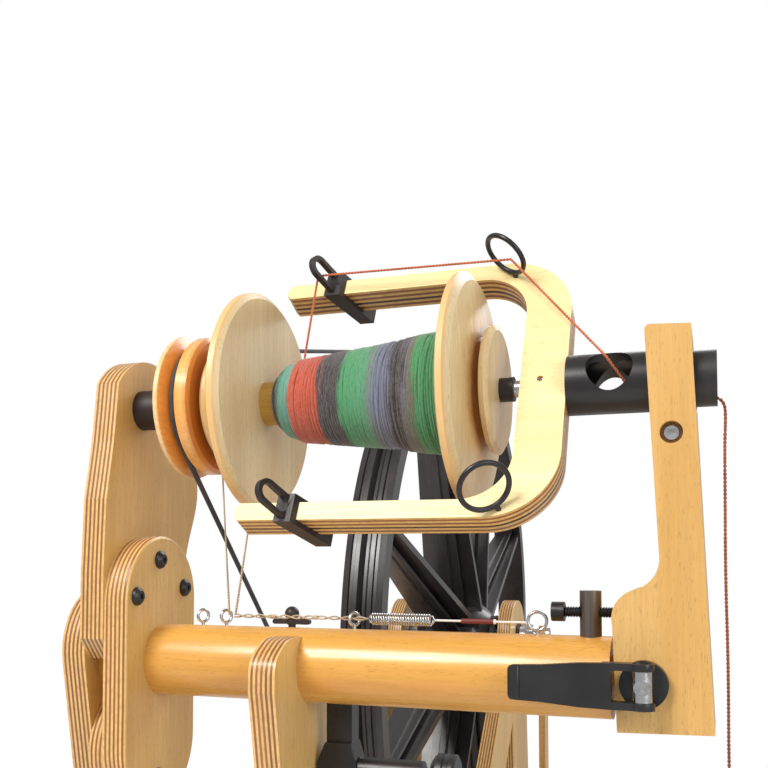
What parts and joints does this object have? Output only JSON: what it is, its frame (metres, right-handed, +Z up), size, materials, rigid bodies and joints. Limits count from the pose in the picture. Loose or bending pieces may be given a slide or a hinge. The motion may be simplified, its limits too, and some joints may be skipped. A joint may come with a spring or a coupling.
{
  "type": "spinning wheel",
  "caption": "Floor-standing spinning wheel: cantilevered flyer and bobbin head, spoked drive wheel, side frames, rocking treadles and a spring-tensioned brake cord.",
  "frame": {"origin": "centre of the footprint's bounding box, at floor height", "axes": "+Z up, +X along the flyer axis towards the orifice, +Y from the flyer towards the drive wheel"},
  "size_m": [0.677, 0.9072, 0.835],
  "materials": {
    "birch_ply": "satin lacquered birch plywood with banded edges",
    "maple": "satin lacquered maple, golden",
    "pale_maple": "satin lacquered maple, pale",
    "dyed_whorl": "orange-dyed laminated wood, glossy",
    "black_steel": "satin black coated steel",
    "steel": "bright steel",
    "black_plastic": "satin black moulded plastic",
    "black_composite": "satin black-brown moulded composite",
    "band_cord": "braided drive band",
    "tan_cord": "twisted tan cotton cord",
    "white_line": "pale nylon line with a dark red sleeve",
    "wool_mixed": "wound wool yarn in changing colours",
    "rust_yarn": "fine plied wool yarn, rust"
  },
  "bodies": {
    "frame": {"left_side_plate": "birch_ply", "right_side_plate": "birch_ply", "back_maiden": "birch_ply", "maiden_spacer": "birch_ply", "clamp_cheek": "birch_ply", "cheek_screws": "black_steel", "cross_bars": "maple", "frame_bolts": "black_steel", "base_arms": "birch_ply", "heel_bar": "maple", "treadle_axle": "steel", "outriggers": "birch_ply", "angle_brackets": "black_steel", "mother_of_all": "maple", "eye_screws": "steel", "stop_post": "steel", "brake_spring": "steel", "brake_line": "white_line", "brake_cord": "tan_cord", "brake_tie": "tan_cord", "axle_bearings": "black_plastic", "drive_band": "band_cord", "rear_bearing": "black_plastic", "tension_hanger": "black_plastic", "tension_sleeve": "black_plastic", "yarn_tail": "rust_yarn"},
    "drive_wheel": {"wheel_rim": "black_composite", "wheel_spokes": "black_composite", "hub_cup": "black_plastic", "wheel_axle": "steel", "cranks": "steel", "crank_pins": "steel"},
    "flyer": {"flyer_frame": "birch_ply", "orifice_tube": "black_steel", "flyer_shaft": "steel", "flyer_whorl": "dyed_whorl", "flyer_set_screw": "steel", "ring_guides": "black_steel", "yarn_lead": "rust_yarn"},
    "bobbin": {"bobbin_rear_flange": "pale_maple", "bobbin_core": "maple", "bobbin_front_flange": "pale_maple", "bobbin_bushing": "black_plastic", "yarn_package": "wool_mixed"},
    "upper_hook": {"upper_hook": "black_plastic"},
    "lower_hook": {"lower_hook": "black_plastic"},
    "front_maiden": {"front_maiden": "maple", "front_bearing": "black_plastic", "maiden_set_screw": "steel", "clamp_disc": "black_plastic", "clamp_barrel": "steel"},
    "clamp_lever": {"clamp_lever": "black_plastic"},
    "stop_screw": {"stop_screw": "black_steel"},
    "brake_knob": {"brake_knob": "black_plastic"},
    "tension_knob": {"tension_knob": "black_plastic"},
    "right_treadle": {"right_treadle": "birch_ply"},
    "left_treadle": {"left_treadle": "birch_ply"},
    "right_footman": {"right_footman": "birch_ply"},
    "left_footman": {"left_footman": "birch_ply"}
  },
  "joints": [
    {"name": "wheel_spin", "type": "hinge", "parent": "frame", "child": "drive_wheel", "pos_m": [-0.1235, 0.15365, 0.535], "axis": [1, 0, 0], "continuous": true},
    {"name": "flyer_spin", "type": "hinge", "parent": "frame", "child": "flyer", "pos_m": [-0.0185, -0.39535, 0.7], "axis": [1, 0, 0], "continuous": true},
    {"name": "bobbin_spin", "type": "hinge", "parent": "flyer", "child": "bobbin", "pos_m": [-0.0185, -0.39535, 0.7], "axis": [1, 0, 0], "continuous": true},
    {"name": "upper_hook_slide", "type": "slide", "parent": "flyer", "child": "upper_hook", "axis": [1, 0, 0], "range_m": [0, 0.04]},
    {"name": "lower_hook_slide", "type": "slide", "parent": "flyer", "child": "lower_hook", "axis": [1, 0, 0], "range_m": [-0.02, 0.06]},
    {"name": "maiden_slide", "type": "slide", "parent": "frame", "child": "front_maiden", "axis": [1, 0, 0], "range_m": [0, 0.004]},
    {"name": "clamp_lever_turn", "type": "hinge", "parent": "front_maiden", "child": "clamp_lever", "pos_m": [0.1085, -0.42395, 0.563], "axis": [0, 0, 1], "range_deg": [0, 95]},
    {"name": "stop_screw_turn_in", "type": "slide", "parent": "frame", "child": "stop_screw", "axis": [1, 0, 0], "range_m": [-0.001, 0]},
    {"name": "brake_knob_turn", "type": "hinge", "parent": "frame", "child": "brake_knob", "pos_m": [-0.0755, -0.38135, 0.588], "axis": [0, 0, 1], "continuous": true},
    {"name": "tension_knob_turn", "type": "hinge", "parent": "frame", "child": "tension_knob", "pos_m": [0.0015, -0.38335, 0.509], "axis": [1, 0, 0], "continuous": true},
    {"name": "right_treadle_rock", "type": "hinge", "parent": "frame", "child": "right_treadle", "pos_m": [0.3165, 0.18865, 0.096], "axis": [0, 1, 0], "range_deg": [-5.8, 5.8]},
    {"name": "left_treadle_rock", "type": "hinge", "parent": "frame", "child": "left_treadle", "pos_m": [0.3165, 0.11865, 0.096], "axis": [0, 1, 0], "range_deg": [-3.7, 3.7]},
    {"name": "right_footman_pin", "type": "hinge", "parent": "drive_wheel", "child": "right_footman", "pos_m": [-0.0425, 0.18865, 0.535], "axis": [1, 0, 0], "continuous": true},
    {"name": "left_footman_pin", "type": "hinge", "parent": "drive_wheel", "child": "left_footman", "pos_m": [-0.2225, 0.11865, 0.535], "axis": [1, 0, 0], "continuous": true}
  ],
  "couplings": [
    {"joint": "flyer_spin", "follows": "wheel_spin", "ratio": 9.5645},
    {"joint": "right_footman_pin", "follows": "wheel_spin", "ratio": -1},
    {"joint": "left_footman_pin", "follows": "wheel_spin", "ratio": -1}
  ]
}
